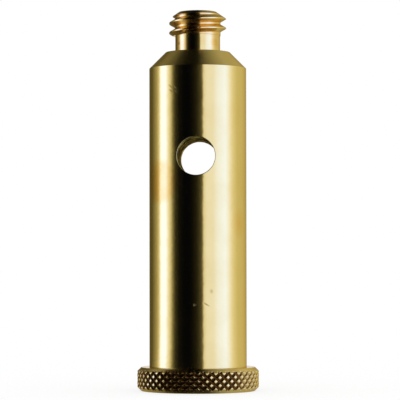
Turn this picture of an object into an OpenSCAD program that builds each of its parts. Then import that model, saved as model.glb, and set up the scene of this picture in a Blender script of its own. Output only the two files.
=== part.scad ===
// Tripod thread adapter: a plain brass spigot turned from one bar.
// It stands on a knurled flange. A cross hole goes through the shank, a short
// screw stud stands on the 45 degree shoulder, and a tapped socket opens in
// the flange's underside. +Z runs up the spigot, from the centre of the foot.

/* [Shank] */
// Diameter of the plain shank, which goes into a light stand's 16 mm socket
shank_d = 16; // [14:0.1:18]
// Height from the flange's upper face to the flat ring under the stud
shank_len = 51.85; // [44:0.05:60]
// Height of the 45 degree cone below the flat ring
shoulder_h = 2.7; // [1.5:0.05:2.9]

/* [Flange] */
// Diameter over the knurl's flat tops
flange_d = 20; // [19:0.1:26]
// Height of the flange, from the foot to its upper face
flange_h = 3.9; // [3:0.1:7]
// Size of the 45 degree chamfers on the flange's two edges
flange_chamfer = 0.65; // [0.4:0.05:1.0]

/* [Knurl] */
// Number of diamonds round the flange
knurl_count = 43; // [34:1:60]
// Angle of the knurl's grooves from the axis, in degrees
knurl_angle = 48.5; // [35:0.5:55]
// Depth of the grooves' crossings below the flat tops
knurl_depth = 0.32; // [0.2:0.02:0.4]
// Height that the flat tops take off the diamonds' points
knurl_worn = 0.2; // [0.04:0.02:0.24]

/* [Stud] */
// Outside diameter of the stud's thread, 3/8 inch UNC less its allowance
thread_d = 9.41; // [8.6:0.01:9.9]
// Pitch of the stud's thread, 16 turns to the inch
thread_pitch = 1.5875; // [1:0.0125:1.6]
// Length of the threaded end
thread_len = 3.95; // [3:0.05:12]
// Diameter of the flat end face inside the lead chamfer
stud_face_d = 6.2; // [5.5:0.1:7.2]
// Height of the lead chamfer on the stud's end
lead_h = 1.1; // [0.6:0.05:1.6]
// Diameter of the plain neck under the thread
neck_d = 7.4; // [6:0.05:7.45]
// Length of the plain neck
neck_len = 2.75; // [1.8:0.05:6]
// Height above the neck at which the thread's first groove crosses the +X side
groove_up = 0.47; // [0.3:0.01:0.9]

/* [Cross hole] */
// Diameter of the hole through the shank, along Y
cross_d = 6.2; // [4:0.05:8]
// Height of the hole's axis above the flange's upper face
cross_up = 34.4; // [22:0.1:38]

/* [Socket] */
// Diameter of the tapped socket inside its threads, as a 1/4 inch UNC tap drill leaves it
socket_d = 5.1; // [4.9:0.05:8.2]
// Length of the socket's parallel wall, from the foot to the drill's point
socket_len = 12; // [8:0.1:15]
// Diameter of the countersink at the socket's mouth
mouth_d = 7; // [6.4:0.1:9]
// Full angle of the drill that made the socket's blind end, in degrees
drill_angle = 118; // [90:1:140]

/* [Hidden] */
brass = [0.80, 0.66, 0.34];

// Steps to a turn of the true cylinders and cones
round_steps = 96;
// Steps to a turn of the helical groove
groove_steps = 40;
// How far a cutting shape passes the face that it opens
past = 1;

// Heights, up from the foot
ring_z = flange_h + shank_len;
cone_z = ring_z - shoulder_h;
neck_z = ring_z + neck_len;
end_z = neck_z + thread_len;
cross_z = flange_h + cross_up;

// The thread's form: a 60 degree V between crests an eighth of a pitch wide,
// with a flat root a fifth of a pitch wide
thread_r = thread_d / 2;
root_w = thread_pitch / 5;
groove_slope = tan(30);
root_r = thread_r - (thread_pitch * 7 / 8 - root_w) / 2 / groove_slope;
// The groove starts this far round before +X, in degrees
groove_before = 270;
// The thread's first ridge is dressed off by this much, between these two angles
first_dress = 0.35;
dress_from = 10;
dress_to = 70;

// The knurl's lattice: columns and rows half a diamond apart, with a row on the flange's middle
knurl_cols = 2 * knurl_count;
knurl_row_h = PI * flange_d / knurl_count / tan(knurl_angle) / 2;
knurl_tip_r = flange_d / 2 + knurl_worn;
knurl_groove_r = flange_d / 2 - knurl_depth;
knurl_half_rows = ceil(flange_h / 2 / knurl_row_h);
knurl_rows = 2 * knurl_half_rows;
knurl_z0 = flange_h / 2 - knurl_row_h * knurl_half_rows;

// A point at radius r, angle a and height z
function polar(r, a, z) = [r * cos(a), r * sin(a), z];

// How much of the dressing is left at angle a from +X
function dressing(a) = first_dress * min(1, max(0, (dress_to - a) / (dress_to - dress_from)));

// A disc with the crossed grooves of a diamond knurl, higher than the flange.
// Points and crossings of the grooves alternate along each row and column, with a crossing
// on the flange's middle at +X, and
// every cell of the lattice is split along the groove between two crossings.
module knurled_disc() {
    n = knurl_cols;
    function at(row, col) = row * n + col % n;
    function is_point(row, col) = (row - knurl_half_rows + col) % 2 != 0;
    points = [
        for (row = [0 : knurl_rows]) for (col = [0 : n - 1])
            polar(is_point(row, col) ? knurl_tip_r : knurl_groove_r,
                  360 * col / n, knurl_z0 + row * knurl_row_h)
    ];
    sides = [
        for (row = [0 : knurl_rows - 1]) for (col = [0 : n - 1])
            let (a = at(row, col), b = at(row, col + 1), c = at(row + 1, col + 1), d = at(row + 1, col))
            each is_point(row, col) ? [[a, d, b], [d, c, b]] : [[a, d, c], [a, c, b]]
    ];
    foot = [for (col = [0 : n - 1]) at(0, col)];
    head = [for (col = [n - 1 : -1 : 0]) at(knurl_rows, col)];
    polyhedron(points, concat(sides, [foot, head]), convexity = 4);
}

// The flange's plain blank, with a chamfer on each edge
module flange_blank() {
    face_r = flange_d / 2 - flange_chamfer;
    rotate_extrude($fn = round_steps)
        polygon([
            [0, 0], [face_r, 0], [flange_d / 2, flange_chamfer],
            [flange_d / 2, flange_h - flange_chamfer], [face_r, flange_h], [0, flange_h]
        ]);
}

// The finger grip: the blank, as far as the knurl has left it
module knurled_flange() {
    intersection() {
        flange_blank();
        knurled_disc();
    }
}

// The shank with its 45 degree shoulder, the neck and the stud's blank
module shank_and_stud() {
    rotate_extrude($fn = round_steps)
        polygon([
            [0, flange_h / 2], [shank_d / 2, flange_h / 2], [shank_d / 2, cone_z],
            [shank_d / 2 - shoulder_h, ring_z], [neck_d / 2, ring_z], [neck_d / 2, neck_z],
            [thread_r, neck_z], [thread_r, end_z - lead_h], [stud_face_d / 2, end_z], [0, end_z]
        ]);
}

// The cutter of the thread's groove: a V carried up a right-hand helix.
// Its lower side reaches further down at first, where the first ridge is dressed off.
module thread_groove() {
    out_r = thread_r + 0.2;
    half_root = root_w / 2;
    half_out = half_root + (out_r - root_r) * groove_slope;
    run = groove_before + 360 * (thread_len - groove_up + half_out + past / 2) / thread_pitch;
    steps = ceil(run / 360 * groove_steps);
    function section(i) =
        let (
            a = 360 * i / groove_steps - groove_before,
            z = neck_z + groove_up + thread_pitch * a / 360,
            low = z - dressing(a)
        )
        [
            polar(root_r, a, low - half_root), polar(out_r, a, low - half_out),
            polar(out_r, a, z + half_out), polar(root_r, a, z + half_root)
        ];
    points = [for (i = [0 : steps]) each section(i)];
    sides = [
        for (i = [0 : steps - 1]) for (j = [0 : 3])
            let (a = 4 * i + j, b = 4 * i + (j + 1) % 4, c = b + 4, d = a + 4)
            each [[a, b, c], [a, c, d]]
    ];
    last = 4 * steps;
    polyhedron(points, concat(sides, [[3, 2, 1, 0], [last, last + 1, last + 2, last + 3]]), convexity = 6);
}

// The hole through the shank
module cross_hole() {
    translate([0, 0, cross_z])
        rotate([90, 0, 0])
            cylinder(d = cross_d, h = shank_d + 2 * past, center = true, $fn = round_steps);
}

// The blind socket in the foot, as the tap drill and the countersink leave it
module socket() {
    tip_h = socket_d / 2 / tan(drill_angle / 2);
    mouth_h = (mouth_d - socket_d) / 2;
    rotate_extrude($fn = round_steps)
        polygon([
            [0, -past], [mouth_d / 2 + past, -past], [socket_d / 2, mouth_h],
            [socket_d / 2, socket_len], [0, socket_len + tip_h]
        ]);
}

// The whole adapter, one turned piece
module adapter() {
    color(brass)
        difference() {
            union() {
                knurled_flange();
                shank_and_stud();
            }
            thread_groove();
            cross_hole();
            socket();
        }
}

adapter();
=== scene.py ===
"""A brass spigot with a tripod thread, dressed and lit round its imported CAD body."""

import math

import bpy
import numpy as np
from mathutils import Matrix


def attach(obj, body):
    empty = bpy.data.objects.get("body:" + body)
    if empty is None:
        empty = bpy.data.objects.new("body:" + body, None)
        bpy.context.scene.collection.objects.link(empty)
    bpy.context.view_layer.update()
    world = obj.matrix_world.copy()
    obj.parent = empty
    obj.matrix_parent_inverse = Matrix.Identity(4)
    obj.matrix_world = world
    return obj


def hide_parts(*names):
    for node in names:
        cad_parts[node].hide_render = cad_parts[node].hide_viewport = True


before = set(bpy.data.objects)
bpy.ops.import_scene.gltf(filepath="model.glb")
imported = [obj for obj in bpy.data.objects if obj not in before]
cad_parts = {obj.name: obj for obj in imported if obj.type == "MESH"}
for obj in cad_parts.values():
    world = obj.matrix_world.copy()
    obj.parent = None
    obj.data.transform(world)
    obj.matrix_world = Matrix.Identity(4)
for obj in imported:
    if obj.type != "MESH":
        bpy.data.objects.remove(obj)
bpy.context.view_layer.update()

# Sizes of the part, in millimetres and degrees, as its source has them
shank_r = 8.0
flange_r, flange_h, flange_chamfer = 10.0, 3.9, 0.65
ring_z, shoulder_h = 55.75, 2.7
cone_z = ring_z - shoulder_h
neck_r, neck_z = 3.7, 58.5
thread_r, thread_pitch, end_z = 4.705, 1.5875, 62.45
face_r, lead_h = 3.1, 1.1
groove_z = neck_z + 0.47
root_w = thread_pitch / 5
root_r = thread_r - (thread_pitch * 7 / 8 - root_w) / 2 / math.tan(math.radians(30))
first_dress, dress_from, dress_to = 0.35, 10.0, 70.0
knurl_count, knurl_angle = 43, 48.5
knurl_row = math.pi * 2 * flange_r / knurl_count / math.tan(math.radians(knurl_angle)) / 2
knurl_tip_r, knurl_groove_r = flange_r + 0.20, flange_r - 0.32
cross_r, cross_z = 3.1, 38.3
socket_r, socket_len, mouth_r = 2.55, 12.0, 3.5
drill_tip = socket_r / math.tan(math.radians(118 / 2))
tap_pitch, tap_end, tap_fade = 1.27, 9.4, 1.3

# How the rounds are divided
shank_steps, knurl_steps, socket_steps = 192, 2 * knurl_count * 8, 72
patch_steps = 40


def turned(radius, angle, height):
    """Points round Z: x and y are the radius times the angle's cosine and sine, z is the height."""
    return np.stack(np.broadcast_arrays(radius * np.cos(angle), radius * np.sin(angle), height + 0 * angle), axis=-1)


def unit(vectors):
    """Each vector divided by its own length."""
    return vectors / np.maximum(np.linalg.norm(vectors, axis=-1, keepdims=True), 1e-12)


def lesser(a, b, blend):
    """The lesser of two heights, rounded over where they meet.

    The plain minimum, less the blend times the log of one plus e to minus their difference over the blend."""
    return np.minimum(a, b) - blend * np.log1p(np.exp(-np.abs(a - b) / blend))


def greater(a, b, blend):
    """The greater of two heights, filled where they meet: the lesser of their negatives, negated."""
    return -lesser(-a, -b, blend)


def round_angles(steps):
    """Angles once round, in equal steps, with the last on the first."""
    return np.linspace(0, 2 * np.pi, steps + 1)


def rounded_profile(corners, steps=4):
    """A path of straight runs through (radius, height, fillet) corners, with each corner turned by an arc.

    The arc's centre lies one fillet off the path, on the side that the path turns to, and the arc starts
    one fillet times the tangent of half the turn before the corner. The normal is the path's direction
    turned a quarter clockwise, so a path that climbs the outside looks outwards."""
    corners = np.asarray(corners, float)
    points, fillets = corners[:, :2], corners[1:-1, 2]
    runs = unit(np.diff(points, axis=0))
    sides = np.stack([runs[:, 1], -runs[:, 0]], axis=1)
    before, after = runs[:-1], runs[1:]
    turn = np.arctan2(before[:, 0] * after[:, 1] - before[:, 1] * after[:, 0], np.sum(before * after, axis=1))
    hand = np.sign(turn)[:, None] * fillets[:, None]
    start = points[1:-1] - before * (fillets * np.tan(np.abs(turn) / 2))[:, None]
    centre = start - sides[:-1] * hand
    sweep = turn[:, None] * np.linspace(0, 1, steps + 1)
    cosine, sine = np.cos(sweep)[..., None], np.sin(sweep)[..., None]
    side = sides[:-1][:, None, :]
    quarter = np.stack([-side[..., 1], side[..., 0]], axis=-1)
    normals = side * cosine + quarter * sine
    arcs = centre[:, None, :] + normals * hand[:, None, :]
    path = np.vstack([points[:1], arcs.reshape(-1, 2), points[-1:]])
    facing = np.vstack([sides[:1], normals.reshape(-1, 2), sides[-1:]])
    return path, facing


class Skin:
    """Patches of one closed surface, in millimetres, welded where their borders meet."""

    def __init__(self):
        self.points, self.normals, self.marks, self.faces = [], [], [], []
        self.total = 0

    def keep(self, points, normals, marks):
        """Keeps a patch's points and gives the number of its first one."""
        first = self.total
        self.points.append(points.reshape(-1, 3))
        self.normals.append(np.broadcast_to(normals, points.shape).reshape(-1, 3))
        self.marks.append(np.broadcast_to(marks, points.shape[:-1] + (2,)).reshape(-1, 2))
        self.total += self.points[-1].shape[0]
        return first

    def grid(self, points, normals, marks=(0.0, 0.0), cross=None):
        """A grid of points whose columns go anticlockwise and whose rows go along the path.

        Each cell is halved from its first corner to its third, or where cross is true the other way."""
        rows, cols = points.shape[:2]
        index = self.keep(points, normals, np.asarray(marks, float)) + np.arange(rows * cols).reshape(rows, cols)
        a, b, c, d = index[:-1, :-1], index[:-1, 1:], index[1:, 1:], index[1:, :-1]
        cross = np.zeros(a.shape, bool) if cross is None else cross
        first = np.where(cross[..., None], np.stack([a, b, d], -1), np.stack([a, b, c], -1))
        second = np.where(cross[..., None], np.stack([b, c, d], -1), np.stack([a, c, d], -1))
        self.faces += [first.reshape(-1, 3), second.reshape(-1, 3)]

    def lathe(self, path, facing, steps, marks=(0.0, 0.0)):
        """A profile turned round Z: each point of the path makes one row."""
        angles = round_angles(steps)[None, :]
        points = turned(path[:, :1], angles, path[:, 1:])
        normals = turned(facing[:, :1], angles, facing[:, 1:])
        self.grid(points, normals, marks)

    def band(self, surface, angles, along, marks, cross=None):
        """A surface given by a function of angle and place along the path, with its true normals.

        The normal is the cross product of the function's two slopes, taken over a thousandth each way."""
        angle, place = np.meshgrid(angles, along)
        step = 1e-3
        across = surface(angle + step, place) - surface(angle - step, place)
        ahead = surface(angle, place + step) - surface(angle, place - step)
        self.grid(surface(angle, place), unit(np.cross(across, ahead)), marks(angle, place), cross)

    def ring(self, radius_a, steps_a, radius_b, steps_b, height, facing):
        """A flat ring between two circles that are divided differently.

        Each edge of one circle runs to the nearest point of the other, by the share of the round it is at."""
        first = self.keep(turned(radius_a, round_angles(steps_a), height), np.array([0, 0, facing]), np.zeros(2))
        second = self.keep(turned(radius_b, round_angles(steps_b), height), np.array([0, 0, facing]), np.zeros(2))
        edge_a, edge_b = np.arange(steps_a), np.arange(steps_b)
        apex_b = np.rint((edge_a + 0.5) * steps_b / steps_a).astype(int)
        apex_a = np.searchsorted(apex_b, edge_b, side="right")
        self.faces.append(np.stack([first + edge_a, first + edge_a + 1, second + apex_b], -1))
        self.faces.append(np.stack([first + apex_a, second + edge_b + 1, second + edge_b], -1))

    def mesh(self, name):
        """The welded mesh in metres, with each point's own normal and its two marks as attributes.

        Points that round to the same fifth of a micron become one, and the flat triangles that leaves go."""
        points, normals, marks = map(np.vstack, (self.points, self.normals, self.marks))
        _, kept, place = np.unique(np.floor(points / 2e-4 + 0.37).astype(np.int64), axis=0,
                                   return_index=True, return_inverse=True)
        place = place.reshape(-1)
        faces = place[np.vstack(self.faces)]
        whole = (faces[:, 0] != faces[:, 1]) & (faces[:, 1] != faces[:, 2]) & (faces[:, 2] != faces[:, 0])
        faces = faces[whole]
        facing = np.zeros((len(kept), 3))
        np.add.at(facing, place, normals)
        marked = np.zeros((len(kept), 2))
        np.maximum.at(marked, place, marks)
        mesh = bpy.data.meshes.new(name)
        mesh.vertices.add(len(kept))
        mesh.vertices.foreach_set("co", (points[kept] * 0.001).ravel())
        mesh.loops.add(faces.size)
        mesh.loops.foreach_set("vertex_index", faces.ravel())
        mesh.polygons.add(len(faces))
        mesh.polygons.foreach_set("loop_start", np.arange(0, faces.size, 3))
        mesh.update(calc_edges=True)
        mesh.shade_smooth()
        # The first mark is grime with painted shade in the grooves, the second the holes' painted shade
        for column, title in enumerate(("recess", "inside")):
            mesh.attributes.new(title, "FLOAT", "POINT").data.foreach_set("value", marked[:, column])
        mesh.normals_split_custom_set_from_vertices(unit(facing).tolist())
        return mesh


def stud_radius(angle, height):
    """The stud's radius at an angle and a height.

    The height is counted in turns from the groove's centre. The nearer of the grooves above and below,
    less half the root's width, over the tangent of 30 degrees, is how far the flank stands out of the root.
    The root, the crest and the lead cone limit it. The first groove's lower side is dressed further down."""
    turns = (height - groove_z) / thread_pitch - angle / (2 * np.pi)
    upper = np.ceil(turns)
    above, below = (upper - turns) * thread_pitch, (turns - upper + 1) * thread_pitch
    run = np.degrees(angle) + 360 * upper
    dressing = first_dress * np.clip((dress_to - run) / (dress_to - dress_from), 0, 1)
    flank = root_r + (np.minimum(above - dressing, below) - root_w / 2) / math.tan(math.radians(30))
    lead = face_r + (end_z - height) * (thread_r - face_r) / lead_h
    return lesser(greater(lesser(flank, thread_r, 0.02), root_r, 0.03), lead, 0.015)


def knurl_zigzags(angle, height):
    """How near a place is to a groove of each family: 0 on the line of the points, 1 in the groove.

    Half diamonds are counted round and up, from a point one row above the middle. Their half sum gives the
    grooves that fall to the right and their half difference those that rise, each as a zigzag."""
    across = angle * knurl_count / np.pi
    up = (height - flange_h / 2) / knurl_row - 1
    return [2 * np.abs(s - np.rint(s)) for s in ((across + up) / 2, (across - up) / 2)]


def knurled_radius(angle, height):
    """The flange's radius at an angle and a height.

    It falls from the points to the crossings as the greater of the two zigzags rises. The flat tops'
    cylinder and the two 45 degree chamfers limit what is left."""
    knurl = knurl_tip_r - (knurl_tip_r - knurl_groove_r) * greater(*knurl_zigzags(angle, height), 0.03)
    face = flange_r - flange_chamfer
    blank = lesser(np.minimum(face + height, face + flange_h - height), flange_r, 0.01)
    return lesser(knurl, blank, 0.012)


def tapped_radius(angle, height):
    """The socket's radius at an angle and a height: a 60 degree V groove of a quarter inch tap, with a flat
    an eighth of a pitch wide at its bottom, fading over the last turn, inside the countersink's cone."""
    turns = height / tap_pitch - angle / (2 * np.pi)
    off = np.abs(turns - np.rint(turns)) * tap_pitch
    deep = (tap_pitch * 5 / 8) / 2 / math.tan(math.radians(30))
    groove = np.clip(deep - (off - tap_pitch / 16) / math.tan(math.radians(30)), 0, deep)
    fade = np.clip((tap_end + tap_fade - height) / tap_fade, 0, 1)
    return greater(socket_r + groove * fade, mouth_r - height, 0.01)


def on_shank(across, height):
    """Points of the shank's front: across is an arc's length from the front line, so its angle is across over R."""
    turn = across / shank_r
    return np.stack([shank_r * np.sin(turn), -shank_r * np.cos(turn), height], axis=-1)


def hole_side(rings=12, edge=0.11, edge_steps=4):
    """The shank's skin round the cross hole's front mouth, from a square down to the hole's wall.

    Rows blend from the square's outline to a circle one edge wider than the hole, as lengths on the
    unrolled shank. Then a quarter circle of that radius turns the skin into the wall."""
    count = 4 * patch_steps
    side, share = np.divmod(np.arange(count + 1), patch_steps)
    side, share = side % 4, share / patch_steps * 2 - 1
    half = shank_r * math.pi * 2 / shank_steps * patch_steps / 2
    square = half * np.stack([
        np.choose(side, [1 + 0 * share, -share, -1 + 0 * share, share]),
        np.choose(side, [share, 1 + 0 * share, -share, -1 + 0 * share])], axis=-1)
    angle = math.radians(-45) + np.arange(count + 1) * 2 * np.pi / count
    wide = cross_r + edge
    circle = np.stack([shank_r * np.arcsin(wide * np.cos(angle) / shank_r), wide * np.sin(angle)], axis=-1)
    blend = (np.linspace(0, 1, rings + 1) ** 0.8)[:, None, None]
    flat = square * (1 - blend) + circle * blend
    skin = on_shank(flat[..., 0], cross_z + flat[..., 1])
    skin_normals = unit(skin * [1, 1, 0])
    swing = (np.linspace(0, np.pi / 2, edge_steps + 1)[1:])[:, None]
    radius = wide - edge * np.sin(swing)
    x, up = radius * np.cos(angle), radius * np.sin(angle)
    y = -np.sqrt(shank_r ** 2 - x ** 2) + edge * (1 - np.cos(swing))
    lip = np.stack([x, y, cross_z + up], axis=-1)
    outwards = unit(np.stack([x, -np.sqrt(shank_r ** 2 - x ** 2), 0 * x], axis=-1))
    inwards = np.stack([-np.cos(angle) + 0 * x, 0 * x, -np.sin(angle) + 0 * x], axis=-1)
    lip_normals = unit(outwards * np.cos(swing)[..., None] + inwards * np.sin(swing)[..., None])
    points, normals = np.concatenate([skin, lip]), np.concatenate([skin_normals, lip_normals])
    # The lip's second mark eases into the wall's painted shade
    inside = np.concatenate([np.zeros(rings + 1), np.linspace(0, 1, edge_steps + 1)[1:] ** 4])
    marks = np.stack([0 * points[..., 0], inside[:, None] + 0 * points[..., 0]], axis=-1)
    return points, normals, marks


def build_adapter():
    """The whole adapter as one closed skin, from the drill's point in the socket to the stud's end face."""
    skin = Skin()

    # Socket: drill point, tapped wall, countersink and foot
    # The bore's second mark brings the painted shade of the holes' walls
    bore = (0.0, 1.0)
    skin.lathe(*rounded_profile([(0, socket_len + drill_tip, 0), (socket_r, socket_len, 0.1),
                                 (socket_r, 11.0, 0)]), socket_steps, bore)
    # The tapped grooves get a painted shade as deep as they cut, and the socket is marked for the holes' painted
    # shade
    skin.band(lambda a, t: turned(tapped_radius(a, -t), a, -t), round_angles(socket_steps),
              np.linspace(-11.0, -0.12, 110),
              lambda a, t: np.stack([np.clip((tapped_radius(a, -t) - socket_r) / 0.65, 0, 1) * (t < -0.9), 1 + 0 * t], -1))
    skin.lathe(*rounded_profile([(mouth_r - 0.12, 0.12, 0), (mouth_r, 0, 0.05), (mouth_r + 0.2, 0, 0)]),
               socket_steps)
    skin.ring(mouth_r + 0.2, socket_steps, flange_r - 0.9, knurl_steps, 0.0, -1)

    # Flange: chamfers and knurl
    face = flange_r - flange_chamfer
    rows = flange_h / 2 + np.arange(-22, 23) * knurl_row / 8
    low, high = rows[0], rows[-1]
    skin.lathe(*rounded_profile([(flange_r - 0.9, 0, 0), (face, 0, 0.07), (face + low, low, 0)]), knurl_steps)
    cell_row = np.floor((rows[:-1] + rows[1:] - flange_h) / 2 / knurl_row) - 1
    cell_col = np.arange(knurl_steps) // 8
    # The knurl's first mark is grime with painted shade and a painted dark reflection
    skin.band(lambda a, z: turned(knurled_radius(a, z), a, z), round_angles(knurl_steps), rows,
              lambda a, z: np.stack([knurl_grime_and_shade(a, z), 0 * z], -1),
              (cell_row[:, None] + cell_col[None, :]) % 2 == 0)
    skin.lathe(*rounded_profile([(face + flange_h - high, high, 0), (face, flange_h, 0.07),
                                 (flange_r - 0.9, flange_h, 0)]), knurl_steps)
    skin.ring(flange_r - 0.9, knurl_steps, shank_r + 0.15, shank_steps, flange_h, 1)

    # Shank, with the cross hole's two mouths and its wall
    half = shank_r * math.pi * 2 / shank_steps * patch_steps / 2
    skin.lathe(*rounded_profile([(shank_r + 0.15, flange_h, 0), (shank_r, flange_h, 0.08),
                                 (shank_r, cross_z - half, 0)]), shank_steps)
    levels = cross_z + np.linspace(-half, half, patch_steps + 1)
    angles = round_angles(shank_steps)
    quarter, reach = shank_steps // 4, patch_steps // 2
    for first, last in ((0, quarter - reach), (quarter + reach, 3 * quarter - reach),
                        (3 * quarter + reach, shank_steps)):
        strip = angles[None, first:last + 1]
        skin.grid(turned(shank_r, strip, levels[:, None]), turned(1.0, strip, 0 * levels[:, None]))
    points, normals, marks = hole_side()
    about = np.array([-1.0, -1.0, 1.0])
    skin.grid(points, normals, marks)
    skin.grid(points * about, normals * about, marks)
    mouth, wall = points[-1], normals[-1]
    share = np.linspace(0, 1, 17)[:, None, None]
    tube = mouth * (1 - share) + (mouth * [1, -1, 1]) * share
    # The cross hole's wall carries the mark for its painted shade
    skin.grid(tube, np.broadcast_to(wall, tube.shape), bore)

    # Shoulder, ring and neck
    skin.lathe(*rounded_profile([
        (shank_r, cross_z + half, 0), (shank_r, cone_z, 0.07), (shank_r - shoulder_h, ring_z, 0.07),
        (neck_r, ring_z, 0.12), (neck_r, neck_z, 0.04), (neck_r + 0.06, neck_z, 0)]), shank_steps)

    # Relief face, thread and end
    share = np.array([0, 0.5, 0.97, 1.0])[:, None]
    edge = stud_radius(angles, neck_z + 0 * angles)[None, :]
    skin.grid(turned((neck_r + 0.06) * (1 - share) + edge * share, angles[None, :], neck_z),
              np.array([0, 0, -1.0]))
    # The thread's roots get a painted shade of up to 0.3, fading out just past where the lead cone starts
    skin.band(lambda a, z: turned(stud_radius(a, z), a, z), angles, np.linspace(neck_z, end_z - 0.06, 150),
              lambda a, z: np.stack([0.3 * np.clip((thread_r - stud_radius(a, z)) / (thread_r - root_r), 0, 1)
                                     * np.clip((end_z - lead_h - z) / 0.3 + 1, 0, 1), 0 * z], -1))
    lead = face_r + 0.06 * (thread_r - face_r) / lead_h
    skin.lathe(*rounded_profile([(lead, end_z - 0.06, 0), (face_r, end_z, 0.05), (0, end_z, 0)]), shank_steps)
    return skin.mesh("adapter_skin")


def knurl_grime_and_shade(angle, height):
    """How dark a place on the knurl is painted: 0 on the flat tops and the chamfers, 1 at the bottom of a groove.

    It is grime with painted shade in the grooves, and left of the front a painted dark reflection too. It
    rises to 0.3, or to 0.9 left of the front, within a hundredth of a millimetre of the tops, then as the
    depth does. The grooves that fall to the right get less of it than the ones that rise, and the right
    side, given a lighter painted reflection, has three fifths of it. Left of the front the tops are
    darkened too, a painted dark reflection."""
    face = flange_r - flange_chamfer
    blank = np.minimum(np.minimum(face + height, face + flange_h - height), flange_r)
    depth = np.clip((blank - knurled_radius(angle, height) - 0.012) / (flange_r - knurl_groove_r), 0, 1)
    falling, rising = knurl_zigzags(angle, height)
    family_weight = np.where(falling > rising, 0.55, 1.0)
    turn = np.degrees(angle)
    # Left of the front a painted dark reflection, on the right a lighter painted reflection
    grime_shade_and_dark_reflection = 0.3 + 0.6 * np.clip((44 - np.abs((turn - 242 + 180) % 360 - 180)) / 26, 0, 1)
    lighter_reflection_right = np.clip((37 - np.abs((turn - 345 + 180) % 360 - 180)) / 12, 0, 1)
    dark_reflection_on_tops = 0.37 * np.clip((21 - np.abs((turn - 252 + 180) % 360 - 180)) / 9, 0, 1)
    groove = (grime_shade_and_dark_reflection * np.clip(depth / 0.03, 0, 1) + (1 - grime_shade_and_dark_reflection) * depth * family_weight) * (1 - 0.4 * lighter_reflection_right)
    return np.maximum(dark_reflection_on_tops, groove)


class Wire:
    """A number carried by a node's socket, which takes part in sums as a number does."""

    def __init__(self, tree, socket):
        self.tree, self.socket = tree, socket

    def sum_with(self, operation, *others):
        node = self.tree.nodes.new("ShaderNodeMath")
        node.operation = operation
        for slot, value in zip(node.inputs, others):
            if isinstance(value, Wire):
                self.tree.links.new(value.socket, slot)
            else:
                slot.default_value = value
        return Wire(self.tree, node.outputs[0])

    def __add__(self, other):
        return self.sum_with("ADD", self, other)

    def __radd__(self, other):
        return self.sum_with("ADD", other, self)

    def __sub__(self, other):
        return self.sum_with("SUBTRACT", self, other)

    def __rsub__(self, other):
        return self.sum_with("SUBTRACT", other, self)

    def __mul__(self, other):
        return self.sum_with("MULTIPLY", self, other)

    def __rmul__(self, other):
        return self.sum_with("MULTIPLY", other, self)

    def __truediv__(self, other):
        return self.sum_with("DIVIDE", self, other)

    def __pow__(self, other):
        return self.sum_with("POWER", self, other)


class Finish:
    """A material's node tree, with one method that makes any node."""

    def __init__(self, name):
        self.material = bpy.data.materials.new(name)
        self.material.use_nodes = True
        self.tree = self.material.node_tree
        self.tree.nodes.clear()

    def node(self, kind, settings=None, **values):
        """Makes a node of a kind, sets its settings, then its sockets by name, with spaces as underscores."""
        made = self.tree.nodes.new("ShaderNode" + kind)
        for title, setting in (settings or {}).items():
            if title == "stops":
                ramp = made.color_ramp
                while len(ramp.elements) < len(setting):
                    ramp.elements.new(1.0)
                for element, (place, colour) in zip(ramp.elements, setting):
                    element.position, element.color = place, (*colour, 1.0)
            else:
                setattr(made, title, setting)
        for title, value in values.items():
            slot = next(s for s in made.inputs if s.enabled and s.name == title.replace("_", " "))
            if isinstance(value, Wire):
                self.tree.links.new(value.socket, slot)
            else:
                slot.default_value = value
        return made

    def wire(self, made, title=None):
        """The wire from one of a node's outputs, the first that is in use unless it is named."""
        outputs = [s for s in made.outputs if s.enabled and title in (None, s.name)]
        return Wire(self.tree, outputs[0])

    def blend(self, amount, first, second, way="MIX"):
        """Two colours mixed by an amount from 0 to 1, or the first multiplied by the second."""
        slots = self.tree.nodes.new("ShaderNodeMix")
        slots.data_type, slots.blend_type = "RGBA", way
        for slot, value in zip((slots.inputs[0], slots.inputs[6], slots.inputs[7]), (amount, first, second)):
            if isinstance(value, Wire):
                self.tree.links.new(value.socket, slot)
            else:
                slot.default_value = value
        return Wire(self.tree, slots.outputs[2])

    def mixed(self, amount, first, second):
        """Two surfaces mixed by an amount from 0, all of the first, to 1, all of the second."""
        slots = self.tree.nodes.new("ShaderNodeMixShader")
        for slot, value in zip(slots.inputs, (amount, first, second)):
            self.tree.links.new(value.socket, slot)
        return self.wire(slots)


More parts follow.
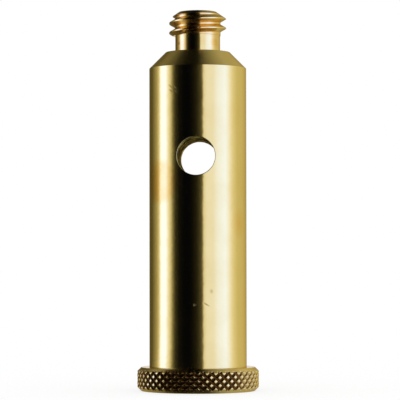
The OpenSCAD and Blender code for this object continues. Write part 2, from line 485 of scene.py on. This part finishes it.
def brass_finish():
    """Bright turned brass: rings left by the tool, a little tarnish in patches, grime and painted shade in the
    grooves, and painted shade with painted streaks of reflection in the holes.
    """
    brass = Finish("turned_brass")
    place = brass.wire(brass.node("TexCoord"), "Object")
    parts = brass.node("SeparateXYZ", Vector=place)
    x, y, z = (brass.wire(parts, axis) for axis in "XYZ")
    radius = (x * x + y * y) ** 0.5
    # Marks: grime with painted shade in the grooves, and painted shade inside the holes
    recess = brass.wire(brass.node("Attribute", {"attribute_name": "recess"}), "Fac")
    inside = brass.wire(brass.node("Attribute", {"attribute_name": "inside"}), "Fac")

    # Rings round Z: noise that changes with radius and height alone
    ring_place = brass.wire(brass.node("CombineXYZ", X=radius * 1000, Y=0.0, Z=z * 1000))
    fine = brass.wire(brass.node("TexNoise", {"noise_dimensions": "3D"}, Vector=ring_place, Scale=5.0,
                                 Detail=3.0, Roughness=0.6), "Fac")
    broad = brass.wire(brass.node("TexNoise", {"noise_dimensions": "3D"}, Vector=ring_place, Scale=0.35,
                                  Detail=2.0, Roughness=0.5), "Fac")
    # Patches of thin tarnish, a few millimetres across
    patch = brass.wire(brass.node("TexNoise", {"noise_dimensions": "3D"}, Vector=place, Scale=170.0,
                                  Detail=4.0, Roughness=0.55), "Fac")
    stain = brass.wire(brass.node("MapRange", {"clamp": True}, Value=patch, From_Min=0.45, From_Max=0.75))
    # The surface is a few microns out of true, more up and down than round
    long_place = brass.wire(brass.node("Mapping", {"vector_type": "POINT"}, Vector=place, Scale=(300, 300, 520)))
    wander = brass.wire(brass.node("TexNoise", {"noise_dimensions": "3D"}, Vector=long_place, Scale=1.0,
                                   Detail=3.0, Roughness=0.6), "Fac")
    # Rings and patches that the drill left in the cross hole, painted on its wall as streaks of reflected light and
    # shade
    drill_place = brass.wire(brass.node("Mapping", {"vector_type": "POINT"}, Vector=place, Scale=(520, 420, 520)))
    painted_streaks = brass.wire(brass.node("TexNoise", {"noise_dimensions": "3D"}, Vector=drill_place, Scale=1.0,
                                   Detail=3.0, Roughness=0.6), "Fac")

    def mark(around, height, radius, length, width, fall, soft=1.0):
        """A spot or scratch on a round: 1 at its middle, 0 one length along it or one width off it.

        It lies so many degrees right of the front, millimetres up and out, and runs down to the right.
        Its soft share is the outer part that fades."""
        turn = math.radians(around)
        middle = (radius * math.sin(turn) * 0.001, -radius * math.cos(turn) * 0.001, height * 0.001)
        near = brass.wire(brass.node("Mapping", {"vector_type": "TEXTURE"}, Vector=place, Location=middle,
                                     Rotation=(0, math.radians(fall), turn),
                                     Scale=(length * 0.001, width * 0.001, width * 0.001)))
        reach = brass.wire(brass.node("VectorMath", {"operation": "LENGTH"}, Vector=near), "Value")
        return brass.wire(brass.node("MapRange", {"clamp": True}, Value=reach, From_Min=1.0,
                                     From_Max=1.0 - soft))

    scratches = (mark(-30.8, 49.6, 8.0, 0.65, 0.17, 38) + mark(-30.2, 48.9, 8.0, 0.60, 0.17, 33)
                 + mark(12.0, 14.3, 8.0, 0.80, 0.19, 30))
    nicks = (mark(-1.2, 14.2, 8.0, 0.34, 0.30, 0) + mark(4.5, 59.5, 4.7, 0.26, 0.22, 0)
             + (mark(-25.2, 49.4, 8.0, 0.60, 0.16, 40) + mark(-24.4, 48.7, 8.0, 0.55, 0.16, 35)) * 0.35)
    spots = (mark(-54.0, 57.1, 3.7, 0.45, 0.36, 0) + mark(21.0, 53.5, 7.85, 0.35, 0.26, 20)
             + mark(18.2, 16.4, 8.0, 0.38, 0.50, 0) * 0.5)

    colour = brass.blend(stain * 0.5, (0.82, 0.65, 0.27, 1), (0.76, 0.57, 0.21, 1))
    # The grooves are darkened by grime and painted shade, on the knurl left of the front by a painted dark
    # reflection too
    grime_and_shade_tint = brass.wire(brass.node("ValToRGB", {"stops": [(0.0, (1, 1, 1)), (0.12, (1.0, 0.98, 0.96)),
                                                        (0.30, (1.0, 0.92, 0.84)), (0.42, (0.27, 0.17, 0.10)),
                                                        (1.0, (0.11, 0.065, 0.04))]}, Fac=recess), "Color")
    colour = brass.blend(1.0, colour, grime_and_shade_tint, "MULTIPLY")
    hole_shade_and_streaks = brass.wire(brass.node("ValToRGB", {"stops": [(0.40, (0.03, 0.02, 0.0)), (0.50, (0.26, 0.19, 0.02)),
                                                           (0.60, (0.90, 0.74, 0.14))]}, Fac=painted_streaks), "Color")
    # Inside the holes the colour becomes painted shade, with painted streaks of reflection
    colour = brass.blend(inside, colour, hole_shade_and_streaks)
    colour = brass.blend(scratches * 0.9 + spots, colour, (0.30, 0.17, 0.03, 1))
    bloom = (mark(-50.0, 34.2, 8.0, 4.4, 3.9, 0, 0.25) * 0.8 + mark(-57.0, 33.4, 8.0, 1.2, 3.4, 0)
             + mark(60.0, 27.5, 8.0, 2.2, 3.0, 0) + mark(53.0, 57.2, 3.7, 1.2, 0.9, 0, 0.6)
             + mark(16.0, 57.4, 3.7, 0.7, 1.1, 0) * 0.7) * patch * 1.5
    colour = brass.blend(bloom, colour, (0.80, 0.50, 0.14, 1))
    # The neck and the thread kept a pinkish tarnish in rings
    on_neck = brass.wire(brass.node("MapRange", {"clamp": True}, Value=z * 1000, From_Min=ring_z, From_Max=ring_z + 0.6))
    ringed = brass.wire(brass.node("MapRange", {"clamp": True}, Value=fine * 0.5 + patch * 0.9,
                                   From_Min=0.60, From_Max=0.74))
    colour = brass.blend(on_neck * ringed * 0.45, colour, (0.84, 0.48, 0.25, 1))
    roughness = 0.10 + broad * 0.04 + stain * 0.04 + recess * 0.25 + inside * 0.8 + nicks * 0.5
    height = fine + wander * 10.0 - scratches * 2.0 - nicks * 14.0
    rings = brass.wire(brass.node("Bump", {"invert": False}, Strength=0.12, Distance=0.00002,
                                  Height=height), "Normal")
    surface = brass.node("BsdfPrincipled", {}, Base_Color=colour, Metallic=1.0, Roughness=roughness,
                         Specular_Tint=(0.85, 0.72, 0.5, 1), Anisotropic=0.55, Anisotropic_Rotation=0.25,
                         Normal=rings)
    brass.node("OutputMaterial", {}, Surface=brass.wire(surface, "BSDF"))
    return brass.material


def add_camera():
    """The photo's view: 350 mm off, a little right of the cross hole's axis and 20 mm up, looking 2 degrees up."""
    aside, up_tilt, roll = math.radians(2.35), math.radians(1.828), math.radians(-0.08)
    distance, height, off = 350.0, 20.2, 0.345
    right = np.array([math.cos(aside), math.sin(aside), 0.0])
    away = np.array([-math.sin(aside), math.cos(aside), 0.0])
    ahead = away * math.cos(up_tilt) + np.array([0, 0, math.sin(up_tilt)])
    up = -away * math.sin(up_tilt) + np.array([0, 0, math.cos(up_tilt)])
    level = right * math.cos(roll) + up * math.sin(roll)
    upright = -right * math.sin(roll) + up * math.cos(roll)
    place = (right * off - away * distance + np.array([0, 0, height])) * 0.001
    data = bpy.data.cameras.new("camera")
    data.sensor_width, data.lens = 36.0, 36.0 * 2122 / 400
    data.clip_start, data.clip_end = 0.01, 50.0
    camera = bpy.data.objects.new("camera", data)
    turn = np.stack([level, upright, -ahead], axis=1)
    camera.matrix_world = Matrix([[*turn[row], place[row]] for row in range(3)] + [[0, 0, 0, 1]])
    bpy.context.scene.collection.objects.link(camera)
    bpy.context.scene.camera = camera
    return aside


def add_floor():
    """A plain white floor under a plain white sky.

    The floor shines a little by itself where it is seen, which makes the shadow on it fainter. From below it
    is clear, so that the foot can be seen."""
    floor = Finish("floor_paper")
    path = floor.node("LightPath")
    seen = sum((floor.wire(path, title) for title in ("Is Glossy Ray", "Is Transmission Ray")),
               floor.wire(path, "Is Camera Ray"))
    paper = floor.node("BsdfDiffuse", {}, Color=(1.0, 1.0, 1.0, 1))
    white = floor.node("Emission", {}, Color=(1.0, 1.0, 1.0, 1), Strength=1.0)
    lit = floor.mixed(seen * 0.75, floor.wire(paper), floor.wire(white))
    from_below = floor.wire(floor.node("NewGeometry"), "Backfacing")
    surface = floor.mixed(from_below, lit, floor.wire(floor.node("BsdfTransparent")))
    floor.node("OutputMaterial", {}, Surface=surface)
    mesh = bpy.data.meshes.new("floor")
    far, low = 6.0, -0.00002
    mesh.from_pydata([(-far, -far, low), (far, -far, low), (far, far, low), (-far, far, low)], [], [(0, 1, 2, 3)])
    mesh.materials.append(floor.material)
    plane = bpy.data.objects.new("floor", mesh)
    bpy.context.scene.collection.objects.link(plane)
    world = bpy.data.worlds.new("white_sky")
    world.use_nodes = True
    world.node_tree.nodes["Background"].inputs["Color"].default_value = (1, 1, 1, 1)
    world.node_tree.nodes["Background"].inputs["Strength"].default_value = 1.0
    bpy.context.scene.world = world


# The light tent's wall by the angle round from the lens, in degrees, right positive: its brightness
# there, and its tint, from 1, the blue white of a covered lamp, through 0, white, to -1, warm
tent_wall = [
    (-180, 0.22, -1.0), (-153, 0.12, -1.0), (-137, 0.13, -1.0), (-124, 0.27, -0.9), (-113, 0.45, -0.9),
    (-105, 0.78, -0.3), (-101, 1.15, 0.2), (-97, 1.35, 1.0), (-82, 1.30, 1.2), (-72, 1.02, 0.0),
    (-67, 0.74, -0.2), (-62, 0.30, -0.9), (-58, 0.12, -1.0), (-54, 0.035, -1.0), (-45, 0.007, -0.4),
    (-33, 0.002, 1.0), (-20, 0.002, 1.0), (-13, 0.005, -0.4), (-3, 0.016, -0.8), (5, 0.06, -1.0),
    (10, 0.12, -1.0),
    (14, 0.95, 0.1), (21, 1.02, 0.35), (36, 1.03, 0.4), (48, 1.10, 0.9), (68, 1.15, 1.2), (76, 1.12, 0.7),
    (86, 1.00, 0.1), (94, 0.86, -0.4), (107, 0.72, -0.8), (133, 0.70, -0.8), (158, 0.55, -0.8),
    (180, 0.22, -1.0)]
# Its roof, by how far to the side a place is, as a share of the roof's radius at its middle
tent_roof = [(-1, 0.28, -0.7), (-0.85, 0.28, -0.8), (-0.72, 0.21, -0.9), (-0.52, 0.11, -0.9), (-0.44, 0.055, -0.8),
             (-0.34, 0.028, -0.8), (-0.29, 0.015, -0.5), (-0.1, 0.008, -0.5), (0.0, 0.014, -0.5),
             (0.06, 0.05, -0.8), (0.11, 0.11, -0.8), (0.2, 0.18, -0.8), (0.28, 0.24, -0.8), (0.45, 0.36, -0.8),
             (0.64, 0.48, -0.7), (0.8, 0.49, -0.7), (0.9, 0.58, -0.6), (1, 0.60, -0.6)]
# Its floor, by the same angle as the wall
tent_floor = [(-180, 0.20, -0.7), (-90, 0.36, -0.6), (-60, 0.34, -0.6), (-36, 0.16, -0.8), (-22, 0.05, -0.9),
              (-15, 0.035, -0.9), (10, 0.035, -0.9), (17, 0.14, -0.9), (23, 0.28, -0.8), (34, 0.42, -0.7),
              (60, 0.48, -0.6), (120, 0.40, -0.6), (180, 0.20, -0.7)]


def tinted(level, tint):
    """Light of a level and a tint: green and blue rise with a tint above 0, and fall, blue first, below it."""
    cool, warm = np.maximum(tint, 0), np.maximum(-tint, 0)
    return np.stack([level, level * (1 + 0.22 * cool - 0.06 * warm), level * (1 + 1.3 * cool - 0.45 * warm)], -1)


def add_tent(aside):
    """A light tent that only the metal sees: a floor, a round wall and a domed roof, with the object inside.

    Rows go out along the floor, up the wall and over the dome. Each place takes its light from the lists
    above, and the roof's share rises smoothly, by three times the square less twice the cube, between two
    elevations seen from the object. The roof's dark band narrows towards the rear, and is a fifth as bright
    on the lens's side of the places that a 45 degree cone mirrors. A low white strip stands behind the
    object, as far as the flange's upper face mirrors."""
    wall_r, wall_h, see_from, rear_spread = 400.0, 30.0, 30.0, 1.2
    low_roof, high_roof = math.radians(22), math.radians(48)
    angle = np.radians(np.linspace(-180, 180, 721))[None, :]
    climb = np.radians(np.linspace(0, 90, 46))
    radius = np.concatenate([[9.2, 20.0, 60.0, wall_r], wall_r * np.cos(climb)])[:, None]
    height = np.concatenate([[0.02, 0.2, 0.2, 0.2], wall_h + wall_r * np.sin(climb)])[:, None]
    floor = np.concatenate([[1, 0.2, 0, 0], 0 * climb])[:, None]
    lift = np.clip((np.arctan2(height - see_from, radius) - low_roof) / (high_roof - low_roof), 0, 1)
    lift = lift * lift * (3 - 2 * lift)
    to_side, to_lens = np.sin(angle), np.cos(angle)
    right = np.array([math.cos(aside), math.sin(aside)])
    lens = np.array([math.sin(aside), -math.cos(aside)])
    points = np.stack([radius * (to_side * right[0] + to_lens * lens[0]),
                       radius * (to_side * right[1] + to_lens * lens[1]), height + 0 * angle], axis=-1)

    def looked_up(table, places):
        stops = np.array(table, float).T
        return np.interp(places, stops[0], stops[1]), np.interp(places, stops[0], stops[2])

    wall = tinted(*looked_up(tent_wall, np.degrees(angle) + 0 * radius))
    behind = np.clip((np.abs(np.degrees(angle)) - 172) / 3, 0, 1) * (height <= wall_h)
    wall = wall * (1 - behind[..., None]) + behind[..., None]
    share = radius / wall_r
    beside, ahead = share * to_side, share * to_lens
    across = beside * (1 + rear_spread * np.maximum(-ahead, 0))
    roof = tinted(*looked_up(tent_roof, across))
    lean = ahead + (1 - np.sqrt(np.maximum(1 - 4 * beside ** 2, 0))) / 2
    flag = np.clip((lean + 0.1) / 0.15, 0, 1) * np.interp(across, (-0.75, -0.45, 0.03, 0.26), (0, 0.82, 0.82, 0))
    roof = roof * (1 - flag)[..., None]
    ground = tinted(*looked_up(tent_floor, np.degrees(angle) + 0 * radius))
    colour = wall * (1 - lift - floor)[..., None] + roof * lift[..., None] + ground * floor[..., None]
    colour = np.concatenate([colour, np.ones_like(colour[..., :1])], axis=-1)
    rows, cols = points.shape[:2]
    index = np.arange(rows * cols).reshape(rows, cols)
    faces = np.stack([index[:-1, :-1], index[1:, :-1], index[1:, 1:], index[:-1, 1:]], axis=-1).reshape(-1, 4)
    mesh = bpy.data.meshes.new("light_tent")
    mesh.from_pydata((points.reshape(-1, 3) * 0.001).tolist(), [], faces.tolist())
    mesh.attributes.new("glow", "FLOAT_COLOR", "POINT").data.foreach_set("color", colour.ravel())
    cloth = Finish("tent_cloth")
    shine = cloth.wire(cloth.node("Attribute", {"attribute_name": "glow"}), "Color")
    cloth.node("OutputMaterial", {}, Surface=cloth.wire(cloth.node("Emission", {}, Color=shine, Strength=1.0)))
    cloth.material.cycles.emission_sampling = "NONE"
    mesh.materials.append(cloth.material)
    tent = bpy.data.objects.new("light_tent", mesh)
    tent.visible_camera = tent.visible_diffuse = tent.visible_shadow = False
    bpy.context.scene.collection.objects.link(tent)


bpy.context.scene.view_settings.view_transform = "Standard"
aside = add_camera()
add_floor()
add_tent(aside)

adapter = bpy.data.objects.new("adapter_skin", build_adapter())
adapter.data.materials.append(brass_finish())
bpy.context.scene.collection.objects.link(adapter)
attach(adapter, "root")
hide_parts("adapter")
